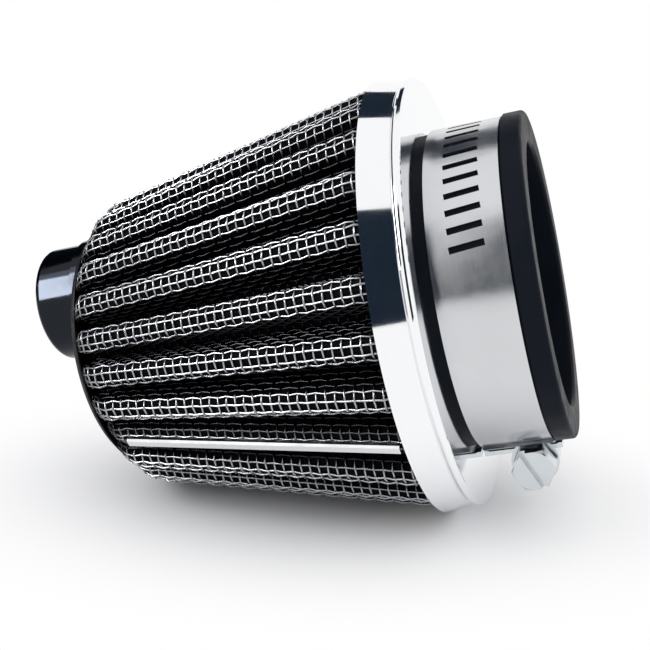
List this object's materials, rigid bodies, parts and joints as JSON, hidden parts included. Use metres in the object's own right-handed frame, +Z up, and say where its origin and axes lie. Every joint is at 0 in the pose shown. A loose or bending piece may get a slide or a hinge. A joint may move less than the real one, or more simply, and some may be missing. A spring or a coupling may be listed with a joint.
{
  "type": "cone air filter",
  "caption": "Tapered pleated air filter with steel mesh on its folds, a chrome rim and end boss, and a rubber neck held by a slotted worm-drive hose clamp.",
  "frame": {"origin": "middle of the bounding box at the level of the surface that the filter lies on", "axes": "+X runs level along the filter, from the small end to the mouth; +Z is up; the clamp's screw is at the bottom of the neck"},
  "size_m": [0.119, 0.0904, 0.0891],
  "materials": {
    "chrome": "polished",
    "rubber": "satin",
    "potting": "matte",
    "mesh_wire": "bright drawn wire",
    "medium": "oiled matte",
    "strip_steel": "bright",
    "black_plate": "satin black",
    "clamp_steel": "satin rolled",
    "zinc_steel": "bright zinc"
  },
  "bodies": {
    "root": {"rim_cup": "chrome", "rubber_neck": "rubber", "large_end_potting": "potting", "outer_mesh": "mesh_wire", "filter_medium": "medium", "inner_mesh": "mesh_wire", "seam_strip": "strip_steel", "small_end_potting": "potting", "small_end_plate": "black_plate", "end_boss": "chrome", "boss_screw": "zinc_steel", "boss_washer": "zinc_steel", "clamp_band": "clamp_steel", "clamp_housing": "zinc_steel", "clamp_screw": "zinc_steel"}
  },
  "joints": []
}
